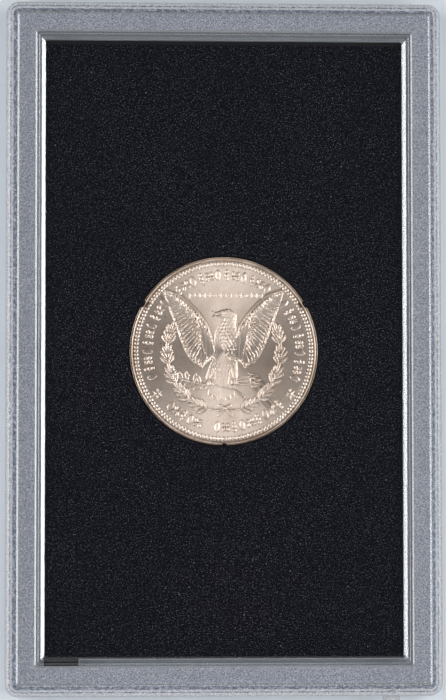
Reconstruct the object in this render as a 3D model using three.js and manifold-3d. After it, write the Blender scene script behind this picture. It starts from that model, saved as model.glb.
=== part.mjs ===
// A clear two-part display case that holds one large coin in a black insert.
//
// The case lies flat. +X is right and +Y is up when the coin's eagle side is read from above,
// and +Z points out of that side. The origin is on the resting plane, under the middle of the
// case's bounding box. All sizes are in millimetres.
//
// How it goes together, from the bottom up:
//   lower_shell  clear moulded half with a frosted rim, a window and six peg sockets
//   lower_card   thin black facing card with three small nubs that lap over the coin's rim
//   insert_core  black plate with the coin's hole and a key tab at its lower left corner
//   coin         lies in the core's hole, held between the nubs of the two cards
//   upper_card   the same facing card, on top
//   upper_shell  the other clear half, with six pegs and the nub left by its moulding gate

import * as THREE from "three";
import { mergeVertices } from "three/addons/utils/BufferGeometryUtils.js";
import Module from "manifold-3d";

const wasm = await Module();
wasm.setup();

// ---------- driving dimensions ----------

const CASE = {
  width: 88,
  length: 140,
  thickness: 9.5,
  cornerRadius: 2.6,
  seam: 0.2, // gap between the two halves
};

// Each inset is measured inwards from the case's outer edge, and each height from the case's
// middle plane, for one half.
const RIM = {
  edgeRound: 1.0, // rounding of the outer edge
  lipHeight: 3.55, // top of the low outer lip
  stepInset: 1.5, // foot of the bevel that rises from the lip to the band
  stepRun: 0.9,
  bandInset: 5.9, // inner edge of the raised frosted band
  bandBevel: 0.5, // bevel from the band down to the window
  outerWall: 1.6,
  innerWallInset: 5.3, // outer face of the wall around the insert
  pocketInset: 7.4, // inner face of that wall
  pocketCorner: 0.5,
  channelHeight: 2.95, // ceiling of the hollow between the two walls
};

const WINDOW = {
  outerHeight: 3.95,
  innerHeight: 2.35,
};

const PEG = {
  diameter: 2.4,
  reach: 2.2, // how far a peg goes past the middle plane
  bossDiameter: 3.8,
  socketDiameter: 2.8,
  socketDepth: 2.5,
  edgeInset: 4.0, // from the case's edge to the pegs along it
  cornerInset: 8.5, // from the case's side to a corner peg
  sides: 16,
};

const GATE = {
  width: 3.4,
  length: 1.0,
  height: 1.5,
  fromCentre: 33.7,
};

const INSERT = {
  cardWidth: 72,
  cardLength: 123.7,
  cardDrop: 0.45, // how far the cards sit below the middle, so the core shows above them
  cornerRadius: 0.6,
  cardThickness: 0.7,
  cardHeight: 1.45, // from the middle plane to a card's inner face
  coreWidth: 72.4,
  coreLength: 124.8,
  coreThickness: 2.5,
  keyWidth: 7,
  keyLength: 1.4,
  keyClearance: 0.2,
};

const COIN = {
  diameter: 38.1,
  thickness: 2.4,
  rimWidth: 1.1,
  fieldDrop: 0.25, // depth of the field below the rim
  edgeRound: 0.15,
  segments: 84,
};

const HOLE = {
  cardRadius: 19.35,
  coreRadius: 19.3,
  drop: 0.6, // the hole and the coin are centred this far below the case's middle
  segments: 72,
};

const NUB = {
  width: 1.5,
  lap: 0.55, // how far a nub reaches over the coin's rim
  angles: [30, 150, 270],
};

const CORNER_SEGMENTS = 5;
const OVERCUT = 1; // how far a cutting solid runs past the face that it opens

const CLEAR_PLASTIC = { color: 0xc9d0d8, roughness: 0.25, metalness: 0 };
const BLACK_PLASTIC = { color: 0x15151a, roughness: 0.7, metalness: 0 };
const BLACK_FLOCK = { color: 0x18181f, roughness: 0.95, metalness: 0 };
const SILVER = { color: 0xc9bdb0, roughness: 0.35, metalness: 1 };

// ---------- solids ----------

/** Turns a closed geometry into a solid that can be cut and joined. */
function solidOf(geometry) {
  const bare = geometry.clone();
  bare.deleteAttribute("normal");
  bare.deleteAttribute("uv");
  const merged = mergeVertices(bare);
  return new wasm.Manifold(
    new wasm.Mesh({
      numProp: 3,
      vertProperties: new Float32Array(merged.attributes.position.array),
      triVerts: new Uint32Array(merged.index.array),
    }),
  );
}

/** Turns a solid back into a geometry. */
function geometryOf(solid) {
  const mesh = solid.getMesh();
  const geometry = new THREE.BufferGeometry();
  geometry.setAttribute("position", new THREE.BufferAttribute(mesh.vertProperties, mesh.numProp));
  geometry.setIndex(new THREE.BufferAttribute(mesh.triVerts, 1));
  geometry.computeVertexNormals();
  return geometry;
}

const joined = (solids) => solids.reduce((whole, piece) => whole.add(piece));
const degrees = THREE.MathUtils.degToRad;

/** A rectangle with round corners, centred on the origin, as a shape or as a hole's path. */
function roundedRectangle(width, length, radius, Kind = THREE.Shape) {
  const x = width / 2 - radius;
  const y = length / 2 - radius;
  const outline = new THREE.Path();
  outline.absarc(x, y, radius, 0, Math.PI / 2);
  outline.absarc(-x, y, radius, Math.PI / 2, Math.PI);
  outline.absarc(-x, -y, radius, Math.PI, 1.5 * Math.PI);
  outline.absarc(x, -y, radius, 1.5 * Math.PI, 2 * Math.PI);
  return new Kind(outline.getPoints(CORNER_SEGMENTS));
}

/** The case's outline moved inwards by an inset. */
function caseOutline(inset, radius = CASE.cornerRadius, Kind = THREE.Shape) {
  return roundedRectangle(CASE.width - 2 * inset, CASE.length - 2 * inset, radius, Kind);
}

/** A shape extruded from one height to another with plain edges. */
function plate(shape, low, high) {
  const options = { depth: high - low, bevelEnabled: false };
  return solidOf(new THREE.ExtrudeGeometry(shape, options).translate(0, 0, low));
}

/** The same with both edges bevelled inwards: run is across the face, rise is along the height. */
function bevelledPlate(shape, low, high, run, rise, steps) {
  const geometry = new THREE.ExtrudeGeometry(shape, {
    depth: high - low - 2 * rise,
    bevelSize: run,
    bevelThickness: rise,
    bevelOffset: -run,
    bevelSegments: steps,
  });
  return solidOf(geometry.translate(0, 0, low + rise));
}

/** A box given by its lowest and highest corners. */
function boxBetween(low, high) {
  const size = new THREE.Vector3().subVectors(high, low);
  const middle = new THREE.Vector3().addVectors(high, low).divideScalar(2);
  return solidOf(new THREE.BoxGeometry(...size).translate(...middle));
}

/** An upright cylinder between two heights. */
function post(x, y, diameter, low, high) {
  const geometry = new THREE.CylinderGeometry(diameter / 2, diameter / 2, high - low, PEG.sides);
  return solidOf(geometry.rotateX(Math.PI / 2).translate(x, y, (low + high) / 2));
}

// ---------- case ----------

/** Where the pegs stand: one near each corner and one halfway up each long side. */
function pegPlaces() {
  const cornerX = CASE.width / 2 - PEG.cornerInset;
  const cornerY = CASE.length / 2 - PEG.edgeInset;
  const sideX = CASE.width / 2 - PEG.edgeInset;
  return [-1, 1].flatMap((side) => [
    [side * cornerX, cornerY],
    [side * cornerX, -cornerY],
    [side * sideX, 0],
  ]);
}

/** One half of the case above the middle plane, without its pegs. keySide is the key notch's side. */
function halfShell(keySide) {
  const meeting = CASE.seam / 2;
  const top = CASE.thickness / 2;
  const below = -CASE.thickness;
  const body = bevelledPlate(caseOutline(0), below, RIM.lipHeight, RIM.edgeRound, RIM.edgeRound, 4);
  const rise = top - RIM.lipHeight;
  const stepOutline = caseOutline(RIM.stepInset, CASE.cornerRadius - RIM.stepInset + RIM.stepRun / 2);
  const rim = bevelledPlate(stepOutline, below, top, RIM.stepRun, rise, 1);

  const recess = bevelledPlate(
    caseOutline(RIM.bandInset, RIM.bandBevel + 0.2),
    WINDOW.outerHeight,
    top + 2 * OVERCUT,
    RIM.bandBevel,
    top - WINDOW.outerHeight,
    1,
  );
  const pocket = plate(caseOutline(RIM.pocketInset, RIM.pocketCorner), 0, WINDOW.innerHeight);
  const channelShape = caseOutline(RIM.outerWall, CASE.cornerRadius - RIM.outerWall);
  channelShape.holes.push(caseOutline(RIM.innerWallInset, RIM.pocketCorner, THREE.Path));
  const channel = plate(channelShape, 0, RIM.channelHeight);
  const lowerHalf = plate(caseOutline(-OVERCUT), below - OVERCUT, meeting);

  return body
    .add(rim)
    .subtract(recess)
    .subtract(pocket)
    .subtract(channel)
    .subtract(keyNotch(keySide))
    .subtract(lowerHalf);
}

/** The notch in the pocket's wall that takes the insert's key tab. */
function keyNotch(side) {
  const wallY = -(CASE.length / 2 - RIM.pocketInset);
  const tabEnd = -(INSERT.coreLength / 2 + INSERT.keyLength);
  const near = INSERT.coreWidth / 2 - INSERT.keyWidth - INSERT.keyClearance;
  const far = INSERT.coreWidth / 2 + INSERT.keyClearance;
  const low = new THREE.Vector3(Math.min(side * near, side * far), tabEnd - INSERT.keyClearance, 0);
  const high = new THREE.Vector3(
    Math.max(side * near, side * far),
    wallY + OVERCUT,
    WINDOW.innerHeight,
  );
  return boxBetween(low, high);
}

function upperShell() {
  const pegs = pegPlaces().map(([x, y]) => post(x, y, PEG.diameter, -PEG.reach, RIM.channelHeight + 0.2));
  const low = CASE.seam / 2;
  const left = GATE.fromCentre - GATE.width / 2;
  const edge = -CASE.length / 2;
  const gate = boxBetween(
    new THREE.Vector3(left, edge - GATE.length, low),
    new THREE.Vector3(left + GATE.width, edge + RIM.outerWall / 2, low + GATE.height),
  );
  return geometryOf(joined([halfShell(-1), gate, ...pegs]));
}

/** The lower half, modelled with its window up and turned over when it is placed. */
function lowerShell() {
  const meeting = CASE.seam / 2;
  const bosses = pegPlaces().map(([x, y]) => {
    const boss = post(x, y, PEG.bossDiameter, meeting, RIM.channelHeight + 0.2);
    const socket = post(x, y, PEG.socketDiameter, -OVERCUT, PEG.socketDepth);
    return { boss, socket };
  });
  const withBosses = joined([halfShell(1), ...bosses.map((each) => each.boss)]);
  return geometryOf(bosses.reduce((shell, each) => shell.subtract(each.socket), withBosses));
}

// ---------- insert ----------

/** The hole in a facing card: a circle with three small nubs that reach over the coin's rim. */
function nubbedHole() {
  const tip = COIN.diameter / 2 - NUB.lap;
  const half = NUB.width / 2;
  const halfAngle = Math.asin(half / HOLE.cardRadius);
  const hole = new THREE.Path();
  NUB.angles.forEach((angle, i) => {
    const middle = degrees(angle);
    const next = degrees(NUB.angles[(i + 1) % NUB.angles.length] + (i === NUB.angles.length - 1 ? 360 : 0));
    const along = new THREE.Vector2(Math.cos(middle), Math.sin(middle));
    const across = new THREE.Vector2(-along.y, along.x);
    for (const side of [-1, 1]) {
      const point = along.clone().multiplyScalar(tip).addScaledVector(across, side * half * 0.8);
      if (i === 0 && side === -1) hole.moveTo(point.x, point.y);
      else hole.lineTo(point.x, point.y);
    }
    hole.absarc(0, 0, HOLE.cardRadius, middle + halfAngle, next - halfAngle, false);
  });
  hole.closePath();
  return hole;
}

/** A facing card, drawn round the coin's centre. */
function facingCard() {
  const rise = HOLE.drop - INSERT.cardDrop;
  const outline = roundedRectangle(INSERT.cardWidth, INSERT.cardLength, INSERT.cornerRadius);
  const shape = new THREE.Shape(outline.getPoints().map((point) => point.clone().setY(point.y + rise)));
  shape.holes.push(nubbedHole());
  return new THREE.ExtrudeGeometry(shape, {
    depth: INSERT.cardThickness,
    bevelEnabled: false,
    curveSegments: HOLE.segments / NUB.angles.length,
  });
}

/** The black plate between the cards, drawn round the coin's centre, with the key tab. */
function insertCore() {
  const side = INSERT.coreWidth / 2;
  const top = INSERT.coreLength / 2 + HOLE.drop;
  const bottom = HOLE.drop - INSERT.coreLength / 2;
  const shape = new THREE.Shape();
  shape.moveTo(-side, bottom - INSERT.keyLength);
  shape.lineTo(-side + INSERT.keyWidth, bottom - INSERT.keyLength);
  shape.lineTo(-side + INSERT.keyWidth, bottom);
  shape.lineTo(side, bottom);
  shape.lineTo(side, top);
  shape.lineTo(-side, top);
  shape.closePath();
  shape.holes.push(new THREE.Path().absarc(0, 0, HOLE.coreRadius, 0, 2 * Math.PI));
  const options = { depth: INSERT.coreThickness, bevelEnabled: false, curveSegments: HOLE.segments };
  return new THREE.ExtrudeGeometry(shape, options);
}

// ---------- coin ----------

/** The coin turned on its axis: raised rims round both fields, and a softened edge. */
function coinBlank() {
  const radius = COIN.diameter / 2;
  const half = COIN.thickness / 2;
  const field = half - COIN.fieldDrop;
  const inner = radius - COIN.rimWidth;
  const upper = [
    new THREE.Vector2(radius, half - COIN.edgeRound),
    new THREE.Vector2(radius - COIN.edgeRound, half),
    new THREE.Vector2(inner + COIN.fieldDrop, half),
    new THREE.Vector2(inner, field),
    new THREE.Vector2(0, field),
  ];
  const lower = upper.map((point) => new THREE.Vector2(point.x, -point.y)).reverse();
  return new THREE.LatheGeometry([...lower, ...upper], COIN.segments).rotateX(Math.PI / 2);
}

// ---------- assembly ----------

function piece(name, geometry, look, place, turn = 0) {
  const mesh = new THREE.Mesh(geometry, new THREE.MeshStandardMaterial(look));
  mesh.name = name;
  mesh.position.copy(place);
  mesh.rotation.y = turn;
  return mesh;
}

const middle = CASE.thickness / 2;
const caseCentre = new THREE.Vector3(0, 0, middle);
const coinCentre = (height) => new THREE.Vector3(0, -HOLE.drop, middle + height);

const slab = new THREE.Group();
slab.name = "coin_slab";
slab.position.y = GATE.length / 2; // the gate nub widens the box on one side only
slab.add(
  piece("lower_shell", lowerShell(), CLEAR_PLASTIC, caseCentre, Math.PI),
  piece("lower_card", facingCard(), BLACK_FLOCK, coinCentre(-INSERT.cardHeight - INSERT.cardThickness)),
  piece("insert_core", insertCore(), BLACK_PLASTIC, coinCentre(-INSERT.coreThickness / 2)),
  piece("coin", coinBlank(), SILVER, coinCentre(0)),
  piece("upper_card", facingCard(), BLACK_FLOCK, coinCentre(INSERT.cardHeight)),
  piece("upper_shell", upperShell(), CLEAR_PLASTIC, caseCentre),
);

export default slab;
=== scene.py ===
"""A clear two-part coin slab: a frosted rim round a polished window, a black flocked insert and a
large silver coin. Laid out as a Blender add-on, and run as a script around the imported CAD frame.

All sizes are in metres. The coin's relief is worked out in millimetres from the coin's centre."""

from math import cos, pi, radians, sin, sqrt

import bmesh
import bpy
import numpy as np
from bpy.props import FloatProperty, FloatVectorProperty, IntProperty, PointerProperty
from mathutils import Matrix, Vector
from mathutils.geometry import tessellate_polygon


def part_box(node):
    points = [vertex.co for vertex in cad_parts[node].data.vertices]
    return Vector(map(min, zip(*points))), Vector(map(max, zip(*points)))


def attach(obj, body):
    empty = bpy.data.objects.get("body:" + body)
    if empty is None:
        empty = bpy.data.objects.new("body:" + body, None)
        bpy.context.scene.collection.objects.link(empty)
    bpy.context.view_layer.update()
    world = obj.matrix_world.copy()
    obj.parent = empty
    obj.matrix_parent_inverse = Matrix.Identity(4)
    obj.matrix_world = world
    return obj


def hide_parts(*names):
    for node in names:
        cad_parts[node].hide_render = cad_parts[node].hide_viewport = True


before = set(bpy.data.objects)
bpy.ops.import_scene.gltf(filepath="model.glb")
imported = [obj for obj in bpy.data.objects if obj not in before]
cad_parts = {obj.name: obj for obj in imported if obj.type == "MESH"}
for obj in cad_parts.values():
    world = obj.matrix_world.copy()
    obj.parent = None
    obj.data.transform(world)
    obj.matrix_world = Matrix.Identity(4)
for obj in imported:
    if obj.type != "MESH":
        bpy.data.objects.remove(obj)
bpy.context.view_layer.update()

bl_info = {
    "name": "Coin slab",
    "version": (1, 0, 0),
    "blender": (4, 5, 0),
    "location": "View3D > Sidebar > Coin slab",
    "description": "Builds a clear coin slab with its insert and its struck silver coin",
    "category": "Add Mesh",
}

MM = 0.001

# ---------------------------------------------------------------- places taken from the frame

SHELL_LOW, SHELL_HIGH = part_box("lower_shell")
UPPER_LOW, UPPER_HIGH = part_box("upper_shell")
CORE_LOW, CORE_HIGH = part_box("insert_core")
COIN_LOW, COIN_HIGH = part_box("coin")

CASE_WIDTH = SHELL_HIGH.x - SHELL_LOW.x
CASE_LENGTH = SHELL_HIGH.y - SHELL_LOW.y
CASE_THICKNESS = UPPER_HIGH.z - SHELL_LOW.z
SEAM = CASE_THICKNESS - 2 * SHELL_HIGH.z
CASE_CENTRE = Vector((
    (SHELL_LOW.x + SHELL_HIGH.x) / 2,
    (SHELL_LOW.y + SHELL_HIGH.y) / 2,
    CASE_THICKNESS / 2,
))
COIN_CENTRE = (COIN_LOW + COIN_HIGH) / 2
COIN_RADIUS = (COIN_HIGH.x - COIN_LOW.x) / 2
COIN_HALF = (COIN_HIGH.z - COIN_LOW.z) / 2


# ---------------------------------------------------------------- settings


class SlabCaseSettings(bpy.types.PropertyGroup):
    """Sizes and colours of the two clear halves."""

    corner_radius: FloatProperty(
        name="Corner radius", description="Radius of the case's four corners",
        default=2.6 * MM, min=0.5 * MM, max=4 * MM, unit="LENGTH", precision=4)
    frost_colour: FloatVectorProperty(
        name="Frost", description="Colour of the frosted plastic",
        default=(0.25, 0.27, 0.33), min=0, max=1, subtype="COLOR")
    clear_tint: FloatVectorProperty(
        name="Clear tint", description="Tint of what is seen through the clear plastic",
        default=(0.965, 0.975, 0.985), min=0, max=1, subtype="COLOR")
    grain: FloatProperty(
        name="Frost grain", description="Width of one grain of the frosted surface",
        default=0.27 * MM, min=0.1 * MM, max=2 * MM, unit="LENGTH", precision=5)


class SlabInsertSettings(bpy.types.PropertyGroup):
    """Sizes and colours of the black insert."""

    flock_colour: FloatVectorProperty(
        name="Flock", description="Colour of the flocked cards",
        default=(0.003, 0.003, 0.0055), min=0, max=1, subtype="COLOR")
    fibre: FloatProperty(
        name="Fibre", description="Distance between the flock's tufts",
        default=0.33 * MM, min=0.05 * MM, max=2 * MM, unit="LENGTH", precision=5)
    edge_round: FloatProperty(
        name="Edge round", description="Rounding of the cards' edges",
        default=0.12 * MM, min=0.02 * MM, max=0.3 * MM, unit="LENGTH", precision=5)


class SlabCoinSettings(bpy.types.PropertyGroup):
    """Sizes and colours of the coin."""

    silver: FloatVectorProperty(
        name="Silver", description="Colour of the clean silver",
        default=(0.90, 0.73, 0.61), min=0, max=1, subtype="COLOR")
    # The recesses are not drawn in this colour: their darker colour is painted shade, set in struck_silver.
    toning: FloatVectorProperty(
        name="Toning", description="Colour of the light toning near the edge and in the recesses",
        default=(0.50, 0.36, 0.26), min=0, max=1, subtype="COLOR")
    reeds: IntProperty(
        name="Reeds", description="Number of reeds round the edge", default=189, min=20, max=400)
    beads: IntProperty(
        name="Beads", description="Number of beads inside the rim", default=148, min=20, max=300)


class SlabStudioSettings(bpy.types.PropertyGroup):
    """The floor, lights and camera."""

    floor_colour: FloatVectorProperty(
        name="Floor", description="Colour of the floor",
        default=(0.62, 0.67, 0.72), min=0, max=1, subtype="COLOR")
    side_light: FloatProperty(
        name="Side lights", description="Power of each of the two side lights",
        default=2.8, min=0, max=200, unit="POWER")
    front_light: FloatProperty(
        name="Front light", description="Power of the low light at the near end",
        default=0.8, min=0, max=200, unit="POWER")
    sky_light: FloatProperty(
        name="Sky light", description="Strength of the glow from round the horizon",
        default=0.5, min=0, max=10)
    camera_distance: FloatProperty(
        name="Camera distance", description="From the camera to the case",
        default=0.6, min=0.2, max=3, unit="LENGTH")


SETTINGS = {
    "slab_case": SlabCaseSettings,
    "slab_insert": SlabInsertSettings,
    "slab_coin": SlabCoinSettings,
    "slab_studio": SlabStudioSettings,
}


# ---------------------------------------------------------------- shader maths


class Wire:
    """A shader socket that can stand in a sum, so that its maths reads as ordinary Python."""

    def __init__(self, paint, socket):
        self.paint = paint
        self.socket = socket

    def _math(self, operation, first, second):
        return self.paint.node("ShaderNodeMath", {"operation": operation}, {0: first, 1: second})

    def __add__(self, other):
        return self._math("ADD", self, other)

    def __radd__(self, other):
        return self._math("ADD", other, self)

    def __sub__(self, other):
        return self._math("SUBTRACT", self, other)

    def __rsub__(self, other):
        return self._math("SUBTRACT", other, self)

    def __mul__(self, other):
        return self._math("MULTIPLY", self, other)

    def __rmul__(self, other):
        return self._math("MULTIPLY", other, self)

    def __pow__(self, other):
        return self._math("POWER", self, other)


def opaque(value):
    """A colour with its alpha added. Anything else stays as it is."""
    return (*value, 1.0) if isinstance(value, tuple) and len(value) == 3 else value


def scaled(colour, factor):
    """A colour made lighter or darker by a factor."""
    return tuple(factor * channel for channel in colour)


class Paint:
    """The nodes of one material, or of the surroundings. Every node comes from node()."""

    def __init__(self, owner):
        self.owner = owner
        owner.use_nodes = True
        self.tree = owner.node_tree
        self.tree.nodes.clear()

    def node(self, kind, settings=None, values=None, output=0):
        """Adds a node of a kind, sets its settings, then its sockets, and returns one output, if it
        has any."""
        made = self.tree.nodes.new(kind)
        for key, value in (settings or {}).items():
            if key == "stops":
                self._set_stops(made.color_ramp, value)
            else:
                setattr(made, key, value)
        for key, value in (values or {}).items():
            socket = made.inputs[key]
            if isinstance(value, Wire):
                self.tree.links.new(value.socket, socket)
            else:
                socket.default_value = value
        return Wire(self, made.outputs[output]) if made.outputs else None

    @staticmethod
    def _set_stops(ramp, stops):
        while len(ramp.elements) < len(stops):
            ramp.elements.new(1.0)
        for element, (position, shade) in zip(ramp.elements, stops):
            element.position = position
            element.color = (shade, shade, shade, 1.0)

    def place(self):
        """The point being shaded, in metres."""
        return self.node("ShaderNodeTexCoord", output="Object")

    def noise(self, size, detail=2.0, roughness=0.5, place=None):
        """Noise from 0 to 1 whose lumps are about size across."""
        values = {"Vector": place or self.place(), "Scale": 1 / size}
        values.update({"Detail": detail, "Roughness": roughness})
        return self.node("ShaderNodeTexNoise", None, values)

    def specks(self, spacing, core, edge, place=None):
        """Scattered round specks: 1 inside core and 0 beyond edge, as shares of their spacing."""
        values = {"Vector": place or self.place(), "Scale": 1 / spacing, "Randomness": 1.0}
        cells = self.node("ShaderNodeTexVoronoi", {"feature": "F1"}, values)
        return self.ramp(cells, (core, 1.0), (edge, 0.0))

    def ramp(self, value, *stops):
        """Turns a value into another through stops of (value, result)."""
        return self.node("ShaderNodeValToRGB", {"stops": stops}, {"Fac": value})

    def mix(self, share, first, second):
        """Mixes two colours. The colour sockets are numbered, because their names aren't unique."""
        values = {0: share, 6: opaque(first), 7: opaque(second)}
        return self.node("ShaderNodeMix", {"data_type": "RGBA"}, values, 2)

    def bump(self, height, distance, strength=1.0):
        """Normals that follow a height between 0 and 1, where 1 stands for distance."""
        values = {"Height": height, "Distance": distance, "Strength": strength}
        return self.node("ShaderNodeBump", None, values)

    def principled(self, **values):
        """A Principled shader. Underscores in the names stand for spaces."""
        named = {key.replace("_", " "): opaque(value) for key, value in values.items()}
        return self.node("ShaderNodeBsdfPrincipled", None, named)

    def seen_through(self, cover, tint, shader):
        """A shader over a clear one: cover is the share of the shader."""
        clear = self.node("ShaderNodeBsdfTransparent", None, {"Color": opaque(tint)})
        return self.node("ShaderNodeMixShader", None, {0: cover, 1: clear, 2: shader})

    def finish(self, surface, kind="ShaderNodeOutputMaterial"):
        """Joins the surface to the output, and gives back what was painted."""
        self.node(kind, None, {"Surface": surface})
        return self.owner


def paint_for(name):
    """Starts a new material."""
    return Paint(bpy.data.materials.new(name))


# ---------------------------------------------------------------- materials


def frosted_plastic(settings, name="frosted_plastic", tone=1.0, roughness=0.30, painted_shade_patches=0.0,
                    coarse=1.0, painted_light_whitening=0.0):
    """The moulded grain of the rim: translucent, with small light and dark facets. Tone makes the whole
    colour lighter or darker. The last three arguments are how much of it is broken up into darker patches
    of painted shade, how strong the grain is, and how far the blue of the plastic gives way to white, which
    is painted light."""
    paint = paint_for(name)
    grain = paint.noise(settings.grain, 3.0, 0.65)
    facets = paint.noise(0.6 * settings.grain, 1.0)
    cloud = paint.noise(9 * MM, 2.0)
    white = max(settings.frost_colour)
    # Whitening the colour is painted light, used on the lip where it catches the side lights.
    frost = scaled([channel + painted_light_whitening * (white - channel) for channel in settings.frost_colour], tone)
    pale = scaled((0.72, 0.72, 0.75), tone)
    deep = scaled((0.08, 0.095, 0.13), tone)
    colour = paint.mix(coarse * paint.ramp(facets, (0.45, 0.0), (0.72, 0.75)), frost, pale)
    colour = paint.mix(coarse * paint.ramp(grain, (0.34, 0.9), (0.56, 0.0)), colour, deep)
    # Painted shade: dark patches over the grain, used on the steep step, which is in shade.
    patches = paint.ramp(paint.noise(0.75 * MM, 3.0, 0.7), (0.40, 0.0), (0.56, 1.0))
    colour = paint.mix(painted_shade_patches * patches, colour, (0.06, 0.075, 0.115))
    shader = paint.principled(
        Base_Color=colour,
        Roughness=roughness + 0.14 * cloud,
        IOR=1.49,
        Normal=paint.bump(grain, 0.3 * settings.grain, 0.8),
    )
    return paint.finish(paint.seen_through(0.56 + 0.24 * grain, tuple(settings.clear_tint), shader))


def polished_plastic(settings, name="polished_plastic", least=0.04, roughness=0.03, painted_shade_clearness=1.0,
                     haze=0.0):
    """Clear polished plastic: it mirrors a little when seen square on, and more at a slant. Haze is the
    share of fine scratches that scatter the light. A clearness below one darkens what is seen through it,
    as painted shade."""
    paint = paint_for(name)
    slant = paint.node("ShaderNodeLayerWeight", None, {"Blend": 0.5}, "Facing")
    mirror = least + (1 - least) * slant ** 5.0
    scratches = paint.noise(2.5 * MM, 5.0, 0.7)
    shader = paint.principled(
        Base_Color=(0.92, 0.94, 0.97),
        Metallic=1.0,
        Roughness=roughness + 0.05 * scratches,
        Normal=paint.bump(scratches, 0.004 * MM, 0.12),
    )
    # Painted shade: a clearness below one dims what is seen through the plastic.
    tint = scaled(settings.clear_tint, painted_shade_clearness)
    worn = paint.principled(Base_Color=(0.78, 0.79, 0.82), Roughness=0.5 + 0.3 * scratches)
    under = paint.seen_through(haze * (0.6 + 0.8 * scratches), tint, worn)
    return paint.finish(paint.node("ShaderNodeMixShader", None, {0: mirror, 1: under, 2: shader}))


def painted_glow_plastic(settings, name, cover):
    """Clear plastic at a wall or a land, with a near-white haze that is painted light: it stands in for the
    light that runs inside the plastic and comes out at the wall.
    """
    paint = paint_for(name)
    streaks = paint.noise(1.6 * MM, 4.0, 0.6)
    shader = paint.principled(
        # Painted light: the near-white colour stands in for light piped through the plastic.
        Base_Color=paint.mix(streaks, (0.86, 0.86, 0.87), (0.62, 0.64, 0.68)),
        Roughness=0.25 + 0.2 * streaks,
        IOR=1.49,
        Normal=paint.bump(streaks, 0.05 * MM, 0.5),
    )
    return paint.finish(paint.seen_through(cover - 0.1 * streaks, tuple(settings.clear_tint), shader))


def black_flock(settings):
    """Short black fibres with fine light specks, which are painted highlights standing in for the fibre
    tips catching the light, and a little dust.
    """
    paint = paint_for("black_flock")
    tufts = paint.noise(settings.fibre, 2.0, 0.6)
    fine = paint.noise(0.7 * settings.fibre, 1.0)
    patches = paint.noise(14 * MM, 2.0)
    # Painted highlight: lighter specks where the fibre tips would catch the light.
    painted_tip_glints = paint.ramp(fine, (0.56, 0.0), (0.74, 1.0)) * paint.ramp(tufts, (0.4, 0.2), (0.6, 1.0))
    colour = paint.mix(painted_tip_glints * (0.55 + 0.5 * patches), tuple(settings.flock_colour), (0.17, 0.17, 0.2))
    dust = paint.specks(3.2 * MM, 0.03, 0.05)
    colour = paint.mix(dust * 0.5, colour, (0.30, 0.30, 0.30))
    shader = paint.principled(
        Base_Color=colour,
        Roughness=0.82 + 0.15 * fine,
        Specular_IOR_Level=0.03,
        Normal=paint.bump(tufts, 0.15 * MM, 0.8),
    )
    return paint.finish(shader)


def black_plastic():
    """The moulded core: satin black with a fine spark-eroded texture."""
    paint = paint_for("black_moulding")
    texture = paint.noise(0.25 * MM, 3.0, 0.6)
    wear = paint.noise(4 * MM, 3.0)
    colour = paint.mix(wear, (0.004, 0.004, 0.005), (0.010, 0.010, 0.012))
    shader = paint.principled(
        Base_Color=colour,
        Roughness=0.5 + 0.2 * wear,
        Specular_IOR_Level=0.2,
        Normal=paint.bump(texture, 0.03 * MM, 0.6),
    )
    return paint.finish(shader)


def struck_silver(settings):
    """Silver with the radial lustre of a fresh strike, brown toning round the rim, bag marks and small
    spots, and painted shade that darkens the recesses of the relief."""
    paint = paint_for("struck_silver")
    place = paint.place()
    cloud = paint.noise(7 * MM, 4.0, 0.6)
    skin = paint.noise(0.22 * MM, 3.0, 0.7)
    marks = paint.noise(0.9 * MM, 5.0, 0.75)
    flat = paint.node("ShaderNodeVectorMath", {"operation": "MULTIPLY"}, {0: place, 1: (1.0, 1.0, 0.0)})
    out = paint.node("ShaderNodeVectorMath", {"operation": "LENGTH"}, {0: flat}, "Value")
    near_rim = paint.ramp(out * (1 / COIN_RADIUS), (0.948, 0.0), (0.960, 1.0), (0.974, 0.8), (0.992, 0.5))
    tone = paint.ramp(cloud, (0.45, 0.0), (0.75, 0.55))
    toning = tuple(settings.toning)
    colour = paint.mix(tone, tuple(settings.silver), toning)
    colour = paint.mix(near_rim * paint.ramp(cloud, (0.38, 0.15), (0.58, 1.0)), colour, toning)
    colour = paint.mix(paint.ramp(skin, (0.32, 0.6), (0.52, 0.0)), colour, (0.52, 0.45, 0.39))
    spots = paint.specks(2.6 * MM, 0.035, 0.075, place)
    colour = paint.mix(spots * 0.8, colour, (0.08, 0.06, 0.045))
    # Painted shade: the concave parts of the relief are darkened as if shadowed.
    painted_recess_shade = paint.node("ShaderNodeNewGeometry", None, {}, "Pointiness")
    colour = paint.mix(paint.ramp(painted_recess_shade, (0.45, 0.9), (0.497, 0.0)), colour, (0.16, 0.12, 0.09))
    shader = paint.principled(
        Base_Color=colour,
        Metallic=1.0,
        Roughness=0.39 + 0.16 * marks,
        Anisotropic=0.55,
        Normal=paint.bump(skin, 0.012 * MM, 0.7),
    )
    return paint.finish(shader)


def floor_paper(settings):
    """Plain pale paper."""
    paint = paint_for("pale_paper")
    fibres = paint.noise(0.8 * MM, 4.0, 0.6)
    tone = paint.noise(60 * MM, 2.0)
    pale = tuple(settings.floor_colour)
    shader = paint.principled(
        Base_Color=paint.mix(tone, pale, scaled(pale, 0.94)),
        Roughness=0.85,
        Normal=paint.bump(fibres, 0.05 * MM, 0.3),
    )
    return paint.finish(shader)


# ---------------------------------------------------------------- mesh making

ROUND_STEPS = 32
SMOOTH_BELOW = radians(32)


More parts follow.
